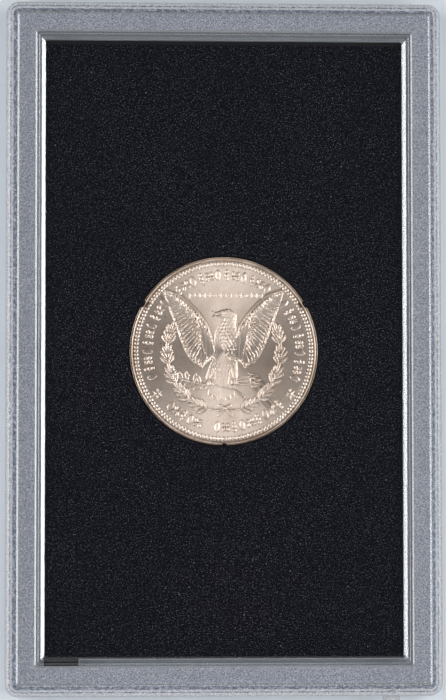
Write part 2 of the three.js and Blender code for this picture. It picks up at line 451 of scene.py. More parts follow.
def add_piece(name, points, faces, materials, finishes=None):
    """Makes a mesh object from points and faces, with outward normals and smooth round parts."""
    mesh = bpy.data.meshes.new(name)
    mesh.from_pydata([tuple(p) for p in points], [], faces)
    for material in materials:
        mesh.materials.append(material)
    if finishes is not None:
        mesh.polygons.foreach_set("material_index", finishes)
    work = bmesh.new()
    work.from_mesh(mesh)
    bmesh.ops.recalc_face_normals(work, faces=work.faces)
    work.to_mesh(mesh)
    work.free()
    smooth_round_parts(mesh)
    piece = bpy.data.objects.new(name, mesh)
    bpy.context.scene.collection.objects.link(piece)
    return piece


def smooth_round_parts(mesh):
    """Shades the mesh smooth, but for the edges where it turns sharply."""
    mesh.shade_smooth()
    mesh.set_sharp_from_angle(angle=SMOOTH_BELOW)


def combined(target, tool, operation):
    """Joins or cuts target with tool, then removes the tool."""
    modifier = target.modifiers.new("combine", "BOOLEAN")
    modifier.operation = operation
    modifier.solver = "EXACT"
    modifier.object = tool
    evaluated = target.evaluated_get(bpy.context.evaluated_depsgraph_get())
    result = bpy.data.meshes.new_from_object(evaluated)
    target.modifiers.clear()
    if not result.polygons:
        raise RuntimeError(f"{operation} with {tool.name} left nothing of {target.name}")
    target.data = result
    bpy.data.objects.remove(tool)
    smooth_round_parts(target.data)
    return target


def rounded_loop(half_width, half_length, radius, steps):
    """The points of a rectangle with round corners, the same number for every size."""
    corners = [(1, 1), (-1, 1), (-1, -1), (1, -1)]
    loop = []
    for quarter, (side_x, side_y) in enumerate(corners):
        for step in range(steps + 1):
            angle = (quarter + step / steps) * pi / 2
            x = side_x * (half_width - radius) + radius * cos(angle)
            y = side_y * (half_length - radius) + radius * sin(angle)
            loop.append((x, y))
    return loop


def circle_loop(centre, radius, steps):
    """The points of a circle."""
    return [
        (centre[0] + radius * cos(2 * pi * i / steps), centre[1] + radius * sin(2 * pi * i / steps))
        for i in range(steps)
    ]


def rounded_profile(corners, steps):
    """Rounds the corners of a profile. Each corner is (across, up, rounding, finish), where finish
    belongs to the stretch that follows. Gives the points, and the finish after each point."""
    points, finishes = [], []
    for i, (across, up, rounding, finish) in enumerate(corners):
        here = Vector((across, up))
        if rounding == 0 or i in (0, len(corners) - 1):
            points.append(here)
            finishes.append(finish)
            continue
        before = (Vector(corners[i - 1][:2]) - here).normalized()
        after = (Vector(corners[i + 1][:2]) - here).normalized()
        start = here + before * rounding
        end = here + after * rounding
        for step in range(steps + 1):
            t = step / steps
            points.append(start * (1 - t) ** 2 + here * 2 * t * (1 - t) + end * t ** 2)
            finishes.append(finish if t >= 0.5 else corners[i - 1][3])
    return points, finishes


def numbered_rings(start, count, rings):
    """The numbers of the points in a stack of rings, when they are counted ring by ring."""
    return [range(start + ring * count, start + (ring + 1) * count) for ring in range(rings)]


def band(first, second):
    """The faces between two closed rings that have the same number of points."""
    count = len(first)
    ahead = [(i + 1) % count for i in range(count)]
    return [[first[i], first[j], second[j], second[i]] for i, j in enumerate(ahead)]


def lofted(name, loops, heights, materials, finishes, cap=None):
    """Skins a stack of loops that have the same number of points, and caps both ends. The caps take
    the first and the last finish, or cap."""
    count = len(loops[0])
    points = [(x, y, z) for loop, z in zip(loops, heights) for x, y in loop]
    rings = numbered_rings(0, count, len(loops))
    faces, indices = [list(rings[0])], [finishes[0] if cap is None else cap]
    for first, second, finish in zip(rings, rings[1:], finishes):
        faces += band(first, second)
        indices += [finish] * count
    faces.append(list(rings[-1]))
    indices.append(finishes[-1] if cap is None else cap)
    return add_piece(name, points, faces, materials, indices)


def turned(name, centre, profile, materials, finish):
    """A round piece from a profile of (radius, height)."""
    loops = [circle_loop(centre, radius, ROUND_STEPS) for radius, _ in profile]
    heights = [height for _, height in profile]
    return lofted(name, loops, heights, materials, [finish] * len(profile))


def flat_piece(name, outline, hole, low, high, rounding, material, steps=3):
    """A flat piece with a hole and rounded edges. outline and hole take an inset into the material
    and give a loop."""
    quarter = [step / steps * pi / 2 for step in range(steps + 1)]
    upper = [(rounding * (1 - sin(angle)), high - rounding * (1 - cos(angle))) for angle in quarter]
    levels = upper + [(inset, low + high - z) for inset, z in reversed(upper)]
    points, faces, walls = [], [], []
    for loop_of in (outline, hole):
        loops = [[(x, y, z) for x, y in loop_of(inset)] for inset, z in levels]
        rings = numbered_rings(len(points), len(loops[0]), len(loops))
        points += [p for loop in loops for p in loop]
        for first, second in zip(rings, rings[1:]):
            faces += band(first, second)
        walls.append(rings)
    for level in (0, -1):
        borders = [rings[level] for rings in walls]
        flat = [index for border in borders for index in border]
        for triangle in tessellate_polygon([[Vector(points[i]) for i in border] for border in borders]):
            faces.append([flat[i] for i in triangle])
    return add_piece(name, points, faces, [material])


# ---------------------------------------------------------------- case

FROSTED, LIP, STEP, RUBBED, BEVEL, CHAMFER, POLISHED, WALL, LAND = range(9)

# One half of the case, from the window's edge outwards and back underneath: inset from the case's
# edge, height above the middle plane, rounding and the finish of the stretch that follows.
HALF_PROFILE = [
    (8.05, 3.90, 0.15, CHAMFER),
    (7.2, 4.30, 0.08, BEVEL),
    (6.78, 4.415, 0.03, RUBBED),
    (6.65, 4.475, 0.03, BEVEL),
    (6.3, 4.56, 0.05, RUBBED),
    (5.9, 4.75, 0.1, FROSTED),
    (2.72, 4.75, 0.1, RUBBED),
    (2.25, 4.57, 0.08, STEP),
    (1.5, 3.55, 0.2, LIP),
    (1.05, 3.55, 0.06, STEP),
    (0.85, 3.48, 0.06, LIP),
    (0.2, 3.26, 0.35, LIP),
    (0.0, 2.6, 0.3, FROSTED),
    (0.0, None, 0.12, POLISHED),
    (1.6, None, 0.1, POLISHED),
    (1.6, 2.95, 0.4, POLISHED),
    (5.3, 2.95, 0.4, POLISHED),
    (5.3, None, 0.15, LAND),
    (7.4, None, 0.3, WALL),
    (7.4, 2.35, 0.6, POLISHED),
]
PROFILE_STEPS = 4
CORNER_STEPS = 10
INNER_CORNER = 0.45 * MM
WINDOW_EDGE = 8.6 * MM

PEG_RADIUS = 1.2 * MM
PEG_REACH = 2.15 * MM
PEG_LEAD = 0.35 * MM
PEG_ROOT = 0.3 * MM
BOSS_RADIUS = 1.9 * MM
BOSS_GAP = 0.02 * MM
SOCKET_RADIUS = 1.4 * MM
SOCKET_DEPTH = 2.5 * MM
CHANNEL_HEIGHT = 2.95 * MM
PEG_EDGE_INSET = 4.0 * MM
PEG_CORNER_INSET = 8.5 * MM

KEY_WIDTH = 7 * MM
KEY_CLEARANCE = 0.2 * MM
NOTCH_DRAFT = 0.2 * MM
NOTCH_SHORTFALL = 0.01 * MM  # the notch stops just below the pocket's ceiling
POCKET_INSET = 7.4 * MM
POCKET_HEIGHT = 2.35 * MM

GATE_WIDTH = 3.4 * MM
GATE_HEIGHT = 1.5 * MM
GATE_FROM_CENTRE = 33.7 * MM
GATE_LENGTH = 1.0 * MM
GATE_FOOT = 0.3 * MM
GATE_ROOT = 0.8 * MM
GATE_TAPER = 0.18 * MM
LIP_HEIGHT = 3.55 * MM
PAD_INSET = 0.967 * MM
PAD_HALF_WIDTH = 1.0 * MM
PAD_HALF_DEPTH = 0.38 * MM
PAD_RISE = 0.16 * MM
PAD_LIFT = 0.013 * MM
PAD_ROOT = 0.5 * MM


def peg_places():
    """One peg near each corner and one halfway up each long side."""
    corner_x = CASE_WIDTH / 2 - PEG_CORNER_INSET
    corner_y = CASE_LENGTH / 2 - PEG_EDGE_INSET
    side_x = CASE_WIDTH / 2 - PEG_EDGE_INSET
    places = [(side * corner_x, end * corner_y) for side in (-1, 1) for end in (-1, 1)]
    places += [(-side_x, 0), (side_x, 0)]
    return [(CASE_CENTRE.x + x, CASE_CENTRE.y + y) for x, y in places]


def half_shell(name, side, settings, materials):
    """One half of the case. side is 1 for the upper half and -1 for the lower one."""
    corners = [
        (inset * MM, SEAM / 2 if height is None else height * MM, rounding * MM, finish)
        for inset, height, rounding, finish in HALF_PROFILE
    ]
    top_edge = (WINDOW_EDGE, corners[0][1], 0, POLISHED)
    pocket_edge = (WINDOW_EDGE, corners[-1][1], 0, POLISHED)
    profile, finishes = rounded_profile([top_edge, *corners, pocket_edge], PROFILE_STEPS)
    loops = []
    for inset, _ in profile:
        radius = max(settings.corner_radius - inset, INNER_CORNER)
        loop = rounded_loop(CASE_WIDTH / 2 - inset, CASE_LENGTH / 2 - inset, radius, CORNER_STEPS)
        loops.append([(CASE_CENTRE.x + x, CASE_CENTRE.y + y) for x, y in loop])
    heights = [CASE_CENTRE.z + side * height for _, height in profile]
    return lofted(name, loops, heights, materials, finishes)


def notch_cutter(low, high, foot, ceiling, materials):
    """A tapered box that cuts a notch with bright walls and a clear ceiling."""
    loops = []
    for draft in (0, NOTCH_DRAFT):
        left, right, near = low[0] + draft, high[0] - draft, low[1] + draft
        loops.append([(left, near), (right, near), (right, high[1]), (left, high[1])])
    return lofted("notch_tool", loops, [foot, ceiling], materials, [WALL, WALL], POLISHED)


def cut_key_notch(shell, side, materials):
    """The notch in the pocket's wall that takes the core's key tab."""
    left = CORE_LOW.x - KEY_CLEARANCE
    low = (left, CORE_LOW.y - KEY_CLEARANCE)
    high = (left + KEY_WIDTH + 2 * KEY_CLEARANCE, SHELL_LOW.y + POCKET_INSET + MM)
    depth = CASE_CENTRE.z + side * (POCKET_HEIGHT - NOTCH_SHORTFALL)
    return combined(shell, notch_cutter(low, high, CASE_CENTRE.z, depth, materials), "DIFFERENCE")


def add_pegs(shell, materials):
    """The pegs under the upper half, each with a lead-in at its tip."""
    tip = CASE_CENTRE.z - PEG_REACH
    profile = [
        (PEG_RADIUS, CASE_CENTRE.z + CHANNEL_HEIGHT + PEG_ROOT),
        (PEG_RADIUS, tip + PEG_LEAD),
        (PEG_RADIUS - 0.3 * PEG_LEAD, tip + 0.3 * PEG_LEAD),
        (PEG_RADIUS - PEG_LEAD, tip),
    ]
    for place in peg_places():
        shell = combined(shell, turned("peg_tool", place, profile, materials, POLISHED), "UNION")
    return shell


def add_sockets(shell, materials):
    """The bosses in the lower half, each bored to take a peg."""
    top = CASE_CENTRE.z - SEAM / 2 - BOSS_GAP
    foot = CASE_CENTRE.z - CHANNEL_HEIGHT - PEG_ROOT
    floor = CASE_CENTRE.z - SOCKET_DEPTH
    boss = [(BOSS_RADIUS, foot), (BOSS_RADIUS, top)]
    bore = [(SOCKET_RADIUS, floor), (SOCKET_RADIUS, top + MM)]
    for place in peg_places():
        shell = combined(shell, turned("boss_tool", place, boss, materials, POLISHED), "UNION")
        shell = combined(shell, turned("bore_tool", place, bore, materials, POLISHED), "DIFFERENCE")
    return shell


def add_gate_nub(shell, materials):
    """The stub that is left where the moulding was broken from its runner."""
    edge = CASE_CENTRE.x + GATE_FROM_CENTRE - GATE_WIDTH / 2
    low = CASE_CENTRE.z + SEAM / 2 + GATE_FOOT
    inside = SHELL_LOW.y + GATE_ROOT
    end = UPPER_LOW.y
    loops, heights = [], []
    for taper, share in ((GATE_TAPER, 0), (0, 0.2), (0, 0.75), (GATE_TAPER, 1)):
        left, right = edge + taper, edge + GATE_WIDTH - taper
        loops.append([(left, end + taper), (right, end + 0.6 * taper), (right, inside), (left, inside)])
        heights.append(low + share * GATE_HEIGHT)
    tool = lofted("gate_tool", loops, heights, materials, [LIP] * len(loops))
    return combined(combined(shell, tool, "UNION"), gate_pad(materials), "UNION")


def gate_pad(materials):
    """The smooth oval swelling on the lip above the gate. It is lifted a little, so that no face of
    it lies in a face of the lip."""
    centre = Vector((CASE_CENTRE.x + GATE_FROM_CENTRE, UPPER_LOW.y + GATE_LENGTH + PAD_INSET))
    lip = CASE_CENTRE.z + LIP_HEIGHT + PAD_LIFT
    loops, heights = [], []
    for share in (1.0, 0.9, 0.65, 0.3):
        circle = circle_loop((0, 0), share, ROUND_STEPS)
        loops.append([(centre.x + PAD_HALF_WIDTH * x, centre.y + PAD_HALF_DEPTH * y) for x, y in circle])
        heights.append(lip + PAD_RISE * (1 - share ** 2))
    loops.insert(0, loops[0])
    heights.insert(0, lip - PAD_ROOT)
    return lofted("pad_tool", loops, heights, materials, [RUBBED] * len(loops))


def shell_materials(settings):
    """The case's finishes, in the order of the names above."""
    return [
        frosted_plastic(settings),
        # The lip and the step are lighter copies of the frosted plastic, which is painted light. The lip is
        # also whitened as painted light, and the step is broken up by patches of painted shade.
        frosted_plastic(settings, "frosted_lip", tone=1.55, roughness=0.14, coarse=0.7, painted_light_whitening=0.75),
        frosted_plastic(settings, "frosted_step", tone=1.45, painted_shade_patches=0.9),
        # The rubbed edge and the inner bevel see through with less clearness: painted shade for the
        # shadowed channel seen through them.
        polished_plastic(settings, "rubbed_edge", least=0.06, roughness=0.19, painted_shade_clearness=0.9, haze=0.16),
        polished_plastic(settings, "inner_bevel", least=0.07, roughness=0.14, painted_shade_clearness=0.85, haze=0.01),
        polished_plastic(settings, "window_chamfer", least=0.09, roughness=0.13, haze=0.04),
        polished_plastic(settings),
        # The wall and the land carry a painted glow of piped light.
        painted_glow_plastic(settings, "pocket_wall_glow", cover=0.75),
        painted_glow_plastic(settings, "pocket_land_glow", cover=0.12),
    ]


class SLAB_OT_case(bpy.types.Operator):
    """Adds the two clear halves of the case"""

    bl_idname = "slab.case"
    bl_label = "Clear case"

    def execute(self, context):
        settings = context.scene.slab_case
        materials = shell_materials(settings)
        upper = half_shell("upper_shell_clear", 1, settings, materials)
        upper = cut_key_notch(upper, 1, materials)
        upper = add_gate_nub(add_pegs(upper, materials), materials)
        lower = half_shell("lower_shell_clear", -1, settings, materials)
        lower = add_sockets(cut_key_notch(lower, -1, materials), materials)
        for piece, node, body in ((upper, "upper_shell", "case_lid"), (lower, "lower_shell", "case_base")):
            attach(piece, body)
            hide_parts(node)
        return {"FINISHED"}


# ---------------------------------------------------------------- insert

CORE_HOLE_STEPS = 132
CARD_HOLE_STEPS = 3 * CORE_HOLE_STEPS
NUB_ANGLES = (30, 150, 270)  # degrees
NUB_WIDTHS = (1.5, 1.5, 0.8)  # millimetres
NUB_LAP = 0.55 * MM
NUB_FULLNESS = 1.6
CARD_HOLE_RADIUS = 19.35 * MM
CORE_HOLE_RADIUS = 19.3 * MM
CORE_LENGTH = 124.8 * MM
CARD_CORNER = 0.6 * MM
LEAST_CORNER = 0.1 * MM
CARD_CORNER_STEPS = 6


def card_outline(low, high):
    """Gives the outline of a facing card for an inset into it."""
    centre = (low + high) / 2
    half_width, half_length = (high.x - low.x) / 2, (high.y - low.y) / 2

    def loop(inset):
        radius = max(CARD_CORNER - inset, LEAST_CORNER)
        points = rounded_loop(half_width - inset, half_length - inset, radius, CARD_CORNER_STEPS)
        return [(centre.x + x, centre.y + y) for x, y in points]

    return loop


def nubbed_hole(inset):
    """The hole in a card: a circle with small round nubs that reach over the coin's rim."""
    loop = []
    for step in range(CARD_HOLE_STEPS):
        angle = 2 * pi * step / CARD_HOLE_STEPS
        reach = 0
        for nub, width in zip(NUB_ANGLES, NUB_WIDTHS):
            away = (angle - radians(nub) + pi) % (2 * pi) - pi
            off = abs(away) * CARD_HOLE_RADIUS / (width * MM / 2)
            if off < 1:
                lap = CARD_HOLE_RADIUS - COIN_RADIUS + NUB_LAP * min(1, width)
                reach = lap * min(1, NUB_FULLNESS * sqrt(1 - off ** 2))
        radius = CARD_HOLE_RADIUS + inset - reach
        loop.append((COIN_CENTRE.x + radius * cos(angle), COIN_CENTRE.y + radius * sin(angle)))
    return loop


def core_outline(inset):
    """The core's outline with its key tab at the lower left."""
    bottom = CORE_HIGH.y - CORE_LENGTH
    left, right = CORE_LOW.x + inset, CORE_HIGH.x - inset
    tab_right = CORE_LOW.x + KEY_WIDTH - inset
    return [
        (left, CORE_LOW.y + inset),
        (tab_right, CORE_LOW.y + inset),
        (tab_right, bottom + inset),
        (right, bottom + inset),
        (right, CORE_HIGH.y - inset),
        (left, CORE_HIGH.y - inset),
    ]


def core_hole(inset):
    """The plain round hole in the core."""
    return circle_loop(COIN_CENTRE, CORE_HOLE_RADIUS + inset, CORE_HOLE_STEPS)


class SLAB_OT_insert(bpy.types.Operator):
    """Adds the black core and its two flocked facing cards"""

    bl_idname = "slab.insert"
    bl_label = "Black insert"

    def execute(self, context):
        settings = context.scene.slab_insert
        flock = black_flock(settings)
        edge = settings.edge_round
        for name, body in (("upper_card", "insert_cover"), ("lower_card", "insert_base")):
            low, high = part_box(name)
            outline = card_outline(low, high)
            card = flat_piece(name + "_flocked", outline, nubbed_hole, low.z, high.z, edge, flock)
            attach(card, body)
            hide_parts(name)
        core = flat_piece(
            "insert_core_moulded", core_outline, core_hole, CORE_LOW.z, CORE_HIGH.z, edge, black_plastic())
        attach(core, "insert_base")
        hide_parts("insert_core")
        return {"FINISHED"}


# ---------------------------------------------------------------- coin relief, in millimetres

EAGLE_GRID = 128
STAR_GRID = 80
FIELD_DROP = 0.25
EDGE_ROUND = 0.15
RIM_RADIUS = 18.72
BEAD_RADIUS = 17.72
ORNAMENT_RADIUS = 15.4
ORNAMENT_PITCH = 1.75
ORNAMENT_ARCS = ((55, 127), (-21, 38), (141, 200), (226, 250), (265, 316))  # degrees
PELLET_ENDS = ((-6.9, 11.25), (7.7, 11.25))
PELLET_PITCH = 0.52
STAR_RAYS = 36
SMALL_STARS = 24


def pointing(angle):
    """A step of one millimetre in a direction."""
    return np.array([cos(angle), sin(angle)])


class Relief:
    """A height over a set of points, built up from simple raised shapes."""

    def __init__(self, x, y):
        self.x = x
        self.y = y
        self.height = np.zeros_like(x)

    def top(self, shape):
        """Lays a shape over what is there: the higher of the two stays."""
        self.height = np.maximum(self.height, shape)

    def add(self, shape):
        """Raises what is there by a shape, or sinks it where the shape is below zero."""
        self.height = self.height + shape

    def frame_at(self, place, angle):
        """The points' places along and across a direction through a place."""
        dx, dy = self.x - place[0], self.y - place[1]
        c, s = cos(angle), sin(angle)
        return dx * c + dy * s, dy * c - dx * s

    def dome(self, place, radii, height, turn=0.0, power=0.5):
        """An oval dome, turned by an angle in degrees."""
        along, across = self.frame_at(place, radians(turn))
        inside = 1 - (along / radii[0]) ** 2 - (across / radii[1]) ** 2
        return height * np.clip(inside, 0, 1) ** power

    def stroke(self, start, end, start_width, end_width, height, power=0.75):
        """A round bar that narrows from one end to the other."""
        start, end = np.array(start, float), np.array(end, float)
        span = end - start
        share = ((self.x - start[0]) * span[0] + (self.y - start[1]) * span[1]) / (span @ span)
        share = np.clip(share, 0, 1)
        away = np.hypot(self.x - start[0] - share * span[0], self.y - start[1] - share * span[1])
        half = (start_width + (end_width - start_width) * share) / 2
        return height * np.clip(1 - (away / half) ** 2, 0, 1) ** power

    def follow(self, path, start_width, end_width, height):
        """Lays a stroke along each stretch of a path."""
        for first, second in zip(path, path[1:]):
            self.top(self.stroke(first, second, start_width, end_width, height))

    def blade(self, start, end, width, height, belly=0.45, vein=0.0, power=0.9):
        """A leaf or feather: pointed at both ends, widest at belly, with an optional middle vein."""
        start, end = np.array(start, float), np.array(end, float)
        span = end - start
        length = float(np.hypot(*span))
        along, across = self.frame_at(start, float(np.arctan2(span[1], span[0])))
        share = np.clip(along / length, 0, 1)
        rise = np.where(share < belly, share / belly, (1 - share) / (1 - belly))
        half = width / 2 * np.clip(1 - (1 - rise) ** 2, 0, 1) ** 0.8 + 1e-6
        inside = np.clip(1 - (across / half) ** 2, 0, 1)
        inside = np.where((along > 0) & (along < length), inside, 0)
        groove = 1 - vein * np.exp(-((across / (0.14 * width)) ** 2))
        return height * inside ** power * groove

    def star(self, place, radius, points, height, turn=90.0):
        """A star with a ridge down each ray."""
        dx, dy = self.x - place[0], self.y - place[1]
        angle = (np.arctan2(dy, dx) - radians(turn)) % (2 * pi / points)
        angle = np.minimum(angle, 2 * pi / points - angle)
        inner = 0.45 * radius
        valley = pi / points
        edge = radius * inner * sin(valley) / (inner * np.sin(valley - angle) + radius * np.sin(angle))
        return height * np.clip(1 - np.hypot(dx, dy) / edge, 0, 1) ** 0.7


def along_path(path, share):
    """The point at a share of the length of a path."""
    path = np.array(path, float)
    lengths = np.concatenate([[0], np.cumsum(np.hypot(*np.diff(path, axis=0).T))])
    at = share * lengths[-1]
    return np.array([np.interp(at, lengths, path[:, 0]), np.interp(at, lengths, path[:, 1])])


def softened(path):
    """A path with its corners cut twice, which leaves a smooth curve."""
    path = np.array(path, float)
    for _ in range(2):
        near, far = 0.75 * path[:-1] + 0.25 * path[1:], 0.25 * path[:-1] + 0.75 * path[1:]
        middle = np.stack([near, far], axis=1).reshape(-1, 2)
        path = np.concatenate([path[:1], middle, path[-1:]])
    return path


def mirrored(path, side):
    """A smooth path drawn for the right-hand side, turned over for the left when side is -1."""
    return softened([(side * x, y) for x, y in path])


def add_rim(relief, beads):
    """The raised rim and the ring of beads inside it."""
    radius = np.hypot(relief.x, relief.y)
    angle = np.arctan2(relief.y, relief.x)
    relief.top(FIELD_DROP * np.clip(1 - ((radius - RIM_RADIUS) / 0.34) ** 2, 0, 1) ** 0.5)
    pitch = 2 * pi / beads
    off = ((angle + pitch / 2) % pitch - pitch / 2) * BEAD_RADIUS
    relief.top(0.15 * np.clip(1 - (off / 0.31) ** 2 - ((radius - BEAD_RADIUS) / 0.37) ** 2, 0, 1) ** 0.5)
    relief.add(-0.03 * np.exp(-(((radius - 17.2) / 0.1) ** 2)))


def add_ornament_ring(relief):
    """A broken ring of lozenges, four-leaved flowers and pellets."""
    for start, end in ORNAMENT_ARCS:
        count = round(radians(end - start) * ORNAMENT_RADIUS / ORNAMENT_PITCH)
        for i in range(count + 1):
            angle = radians(start + (end - start) * i / count)
            out = pointing(angle)
            middle = ORNAMENT_RADIUS * out
            if i % 3 == 0:
                relief.top(relief.blade(middle - 1.05 * out, middle + 1.05 * out, 1.15, 0.17, 0.5, 0, 0.6))
            elif i % 3 == 1:
                for quarter in range(4):
                    petal = pointing(angle + pi / 4 + quarter * pi / 2)
                    root, tip = middle + 0.1 * petal, middle + 1.05 * petal
                    relief.top(relief.blade(root, tip, 0.72, 0.16, 0.55, 0, 0.6))
            else:
                for step in (-0.75, 0.0, 0.75):
                    size = 0.42 if step == 0 else 0.3
                    relief.top(relief.dome(middle + step * out, (size, size), 0.16))


def add_pellet_row(relief):
    """A straight row of small pellets and upright darts."""
    start, end = np.array(PELLET_ENDS)
    count = round((end[0] - start[0]) / PELLET_PITCH)
    for i in range(count + 1):
        place = start + (end - start) * i / count
        if i % 2:
            relief.top(relief.dome(place, (0.2, 0.2), 0.07))
        else:
            relief.top(relief.blade(place - (0, 0.5), place + (0, 0.5), 0.42, 0.08, 0.5))


WING_FRONT = [(11.8, 12.3), (8.75, 11.4), (5.55, 8.4), (3.3, 5.4), (2.5, 2.75)]
WING_BACK = [(11.95, 11.9), (10.85, 8.4), (9.5, 5.2), (8.1, 0.9), (6.6, -1.7), (4.4, -3.3)]
WING_FOLD = [(9.6, 11.4), (5.6, 7.8), (4.9, 4.2), (4.1, 0.6), (3.5, -1.4)]
WING_INNER = [(5.0, 7.9), (3.4, 5.3), (2.5, 2.9), (2.2, 0.8)]
WING_HEM = [(4.0, -3.1), (3.2, -2.5), (2.4, -1.5), (2.0, -0.6)]
FLIGHT_FEATHERS = 21
INNER_FEATHERS = 7
COVERT_ROWS = 3


def add_wing(relief, side):
    """One raised wing: flight feathers that fan out from the fold, long feathers between the fold
    and the body, short coverts near the front edge and the bone along it."""
    front, back, fold = (mirrored(p, side) for p in (WING_FRONT, WING_BACK, WING_FOLD))
    inner, hem = (mirrored(p, side) for p in (WING_INNER, WING_HEM))
    for i in range(FLIGHT_FEATHERS):
        share = i / (FLIGHT_FEATHERS - 1)
        root = along_path(fold, 0.92 * share)
        tip = along_path(back, 0.03 + 0.97 * share)
        height = 0.14 + 0.05 * (i % 2)
        relief.top(relief.blade(root, tip, 0.86 - 0.16 * share, height, 0.72, 0.3, 0.6))
    for i in range(INNER_FEATHERS):
        share = i / (INNER_FEATHERS - 1)
        root, tip = along_path(inner, share), along_path(hem, share)
        relief.top(relief.blade(root, tip, 0.8, 0.16 + 0.04 * (i % 2), 0.6, 0.3, 0.6))
    for row in range(COVERT_ROWS):
        coverts = 15 - 2 * row
        for i in range(coverts):
            share = (i + 0.5 * (row % 2)) / coverts
            root = along_path(front, 0.04 + 0.78 * share)
            toward = along_path(back, 0.12 + 0.8 * share)
            heading = (toward - root) / np.hypot(*(toward - root))
            start = root + heading * (0.25 + 0.85 * row)
            relief.top(relief.blade(start, start + 1.25 * heading, 0.62, 0.21 - 0.02 * row, 0.6, 0.5, 0.55))
    relief.follow(front, 0.36, 0.38, 0.23)
    relief.follow(fold[1:], 0.28, 0.24, 0.21)
    relief.follow(back, 0.3, 0.3, 0.19)


def add_plumage(relief, area, pitch, depth):
    """Rows of small scallops cut into an area that is already raised."""
    row = np.floor(relief.y / pitch)
    shifted = relief.x / pitch + 0.5 * (row % 2)
    column = np.floor(shifted)
    across = shifted - column - 0.5
    down = relief.y / pitch - row
    edge = np.abs(down - 0.15 - 2.6 * across ** 2)
    strength = 0.6 + 0.4 * np.sin(12.9 * row + 7.1 * column)
    relief.add(-depth * area * strength * np.exp(-((edge / 0.15) ** 2)))


TAIL_TIPS = (
    (-3.6, -7.6), (-3.1, -8.9), (-2.2, -9.7), (-1.1, -10.1), (0.1, -10.1), (1.2, -9.7), (2.1, -9.0),
)


def add_tail(relief):
    """A fan of tail feathers, and the grooved coverts over their roots."""
    for i, tip in enumerate(TAIL_TIPS):
        root = (-0.6 + 0.12 * (i - 3), -5.6)
        relief.top(relief.blade(root, tip, 1.35, 0.12 + 0.02 * (i % 2), 0.75, 0.35))
    relief.top(relief.stroke((0.2, -1.0), (-0.5, -6.4), 3.2, 2.9, 0.14, 0.4))
    for offset in (-0.9, -0.3, 0.3, 0.9):
        relief.add(-0.03 * relief.stroke((0.2 + offset, -2.5), (-0.5 + offset, -6.6), 0.22, 0.22, 1.0))


def add_body(relief):
    """The legs and the body, with scallops of plumage over both."""
    for start, end in (((-0.6, -0.2), (-3.2, -5.3)), ((1.5, -0.2), (2.3, -5.2))):
        relief.top(relief.stroke(start, end, 2.5, 1.0, 0.2))
    body = relief.dome((0.45, 2.0), (2.45, 4.3), 0.23, -4)
    body = np.maximum(body, relief.stroke((0.5, 3.4), (1.35, 6.5), 3.6, 2.5, 0.23))
    body = np.maximum(body, relief.dome((0.95, 7.3), (1.7, 1.15), 0.235, -12))
    relief.top(body)
    add_plumage(relief, np.clip(body / 0.12, 0, 1) * (relief.y < 7.0), 0.72, 0.12)
    legs = (relief.y < -0.8) & (relief.y > -5.4) & (np.abs(relief.x) < 3.6)
    add_plumage(relief, legs * np.clip(relief.height / 0.15, 0, 1), 0.6, 0.08)


def add_head(relief):
    """The hooked beak, the eye in its socket and the brow."""
    relief.top(relief.stroke((-0.5, 7.75), (-1.75, 7.6), 0.85, 0.5, 0.2))
    relief.top(relief.stroke((-1.75, 7.62), (-2.15, 7.05), 0.5, 0.14, 0.19))
    relief.top(relief.stroke((-0.4, 7.2), (-1.35, 7.1), 0.42, 0.16, 0.17))
    relief.add(-0.1 * relief.dome((0.15, 7.72), (0.3, 0.24), 1.0))
    relief.top(relief.dome((0.12, 7.72), (0.15, 0.15), 0.235))
    relief.top(relief.stroke((-0.4, 8.1), (0.9, 8.25), 0.35, 0.5, 0.24))


BRANCH_STEM = [(-8.6, -5.6), (-5.2, -6.6), (-1.5, -6.9), (1.4, -7.6), (3.2, -8.4), (4.1, -9.4)]
BERRIES = ((-7.2, -5.0), (-5.6, -5.4), (-4.6, -7.4))

# Each leaf of the branch: its share of the stem, its heading in degrees and its length.
BRANCH_LEAVES = (
    (0.0, 168, 1.9), (0.02, 120, 1.9), (0.02, 215, 1.7), (0.1, 100, 2.0), (0.12, 232, 1.7),
    (0.2, 80, 2.0), (0.22, 200, 2.1), (0.3, 112, 1.8), (0.32, 215, 2.1), (0.42, 190, 2.2),
)


def add_branch(relief):
    """The olive branch in the left claw."""
    stem = softened(BRANCH_STEM)
    relief.follow(stem, 0.34, 0.3, 0.17)
    for share, turn, length in BRANCH_LEAVES:
        root = along_path(stem, share)
        tip = root + length * pointing(radians(turn))
        relief.top(relief.blade(root, tip, 0.72, 0.14, 0.45, 0.4))
    for place in BERRIES:
        relief.top(relief.dome(place, (0.26, 0.26), 0.14))


def add_arrows_and_claws(relief):
    """The arrows in the right claw, and the toes that grip the branch and the arrows."""
    for drop in (0.0, 0.85, 1.7):
        shaft_end = (5.1 + 0.25 * drop, -5.0 - drop)
        relief.top(relief.stroke((1.6, -5.9 - 0.35 * drop), shaft_end, 0.26, 0.26, 0.13))
        for lift in (-1, 1):
            barb = (shaft_end[0] + 0.1, shaft_end[1] + 0.48 * lift)
            relief.top(relief.stroke(barb, (shaft_end[0] + 2.1, shaft_end[1] + 0.1), 0.34, 0.16, 0.14))
    for foot in ((-2.9, -5.9), (2.4, -5.8)):
        for toe in (-0.75, -0.25, 0.25, 0.75):
            relief.top(relief.stroke(foot, (foot[0] + toe, foot[1] - 0.95), 0.42, 0.26, 0.2))


WREATH_STEM = [
    (0.6, -11.9), (3.8, -11.7), (7.6, -9.5), (10.5, -5.6), (11.6, -0.8), (11.2, 3.2), (10.1, 6.0),
]
LEAF_BUNCHES = 5
LEAF_LEANS = (40, 32, 24, 0)


